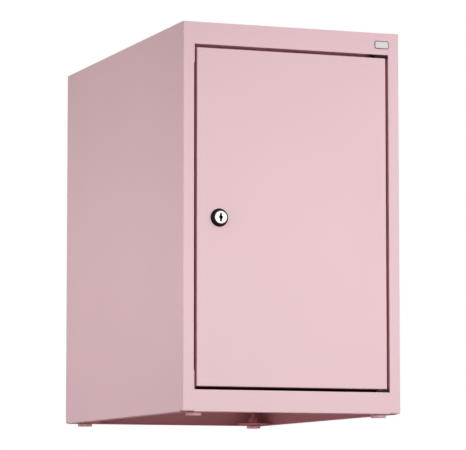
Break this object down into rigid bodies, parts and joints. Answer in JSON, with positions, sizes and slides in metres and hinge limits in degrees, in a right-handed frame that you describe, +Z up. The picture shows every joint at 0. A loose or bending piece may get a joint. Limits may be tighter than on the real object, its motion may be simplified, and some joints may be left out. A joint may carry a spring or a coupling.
{
  "type": "locker cabinet",
  "caption": "Small steel locker cabinet: a folded sheet case with one flush door on hidden pivot hinges, a cam lock at its edge and short levelling feet.",
  "frame": {"origin": "on the floor under the middle of the whole box, the lock's proud face included", "axes": "+X to the hinge side, +Y from the door to the back, +Z up"},
  "size_m": [0.3, 0.5066, 0.504],
  "materials": {
    "case_paint": "satin powder coat, pale pink",
    "door_paint": "satin powder coat, pale pink",
    "black_plastic": "fine moulded texture, black",
    "zinc_steel": "zinc plated",
    "bright_chrome": "bright nickel plate",
    "brass": "stamped, plain",
    "bumper_rubber": "soft, matte black",
    "bracket_steel": "satin powder coat, pale pink",
    "foot_paint": "moulded in the case's pink",
    "stud_steel": "zinc plated, threaded"
  },
  "bodies": {
    "carcass": {"left_side_panel": "case_paint", "right_side_panel": "case_paint", "top_panel": "case_paint", "floor_panel": "case_paint", "back_panel": "case_paint", "upper_hinge_block": "black_plastic", "lower_hinge_block": "black_plastic", "upper_hinge_pin": "zinc_steel", "lower_hinge_pin": "zinc_steel", "door_bumpers": "bumper_rubber", "foot_weld_nuts": "bracket_steel", "foot_bracket_front_left": "bracket_steel", "foot_bracket_front_right": "bracket_steel", "foot_bracket_rear_left": "bracket_steel", "foot_bracket_rear_right": "bracket_steel"},
    "door": {"door_panel": "door_paint", "door_stiffener": "door_paint", "upper_hinge_bush": "black_plastic", "lower_hinge_bush": "black_plastic", "lock_rosette": "black_plastic", "lock_housing": "bright_chrome", "lock_nut": "zinc_steel"},
    "lock_core": {"lock_plug": "bright_chrome", "lock_wafers": "brass", "lock_cam": "zinc_steel", "cam_screw": "zinc_steel"},
    "foot_front_left": {"foot_pad_front_left": "foot_paint", "foot_stud_front_left": "stud_steel"},
    "foot_front_right": {"foot_pad_front_right": "foot_paint", "foot_stud_front_right": "stud_steel"},
    "foot_rear_left": {"foot_pad_rear_left": "foot_paint", "foot_stud_rear_left": "stud_steel"},
    "foot_rear_right": {"foot_pad_rear_right": "foot_paint", "foot_stud_rear_right": "stud_steel"}
  },
  "joints": [
    {"name": "door_hinge", "type": "hinge", "parent": "carcass", "child": "door", "pos_m": [0.12429, -0.23975, 0.25362], "axis": [0, 0, 1], "range_deg": [0, 110]},
    {"name": "lock_turn", "type": "hinge", "parent": "door", "child": "lock_core", "pos_m": [-0.101, -0.24675, 0.25202], "axis": [0, 1, 0], "range_deg": [0, 90]},
    {"name": "foot_front_left_screw", "type": "slide", "parent": "carcass", "child": "foot_front_left", "axis": [0, 0, -1], "range_m": [0, 0.012]},
    {"name": "foot_front_right_screw", "type": "slide", "parent": "carcass", "child": "foot_front_right", "axis": [0, 0, -1], "range_m": [0, 0.012]},
    {"name": "foot_rear_left_screw", "type": "slide", "parent": "carcass", "child": "foot_rear_left", "axis": [0, 0, -1], "range_m": [0, 0.012]},
    {"name": "foot_rear_right_screw", "type": "slide", "parent": "carcass", "child": "foot_rear_right", "axis": [0, 0, -1], "range_m": [0, 0.012]}
  ]
}
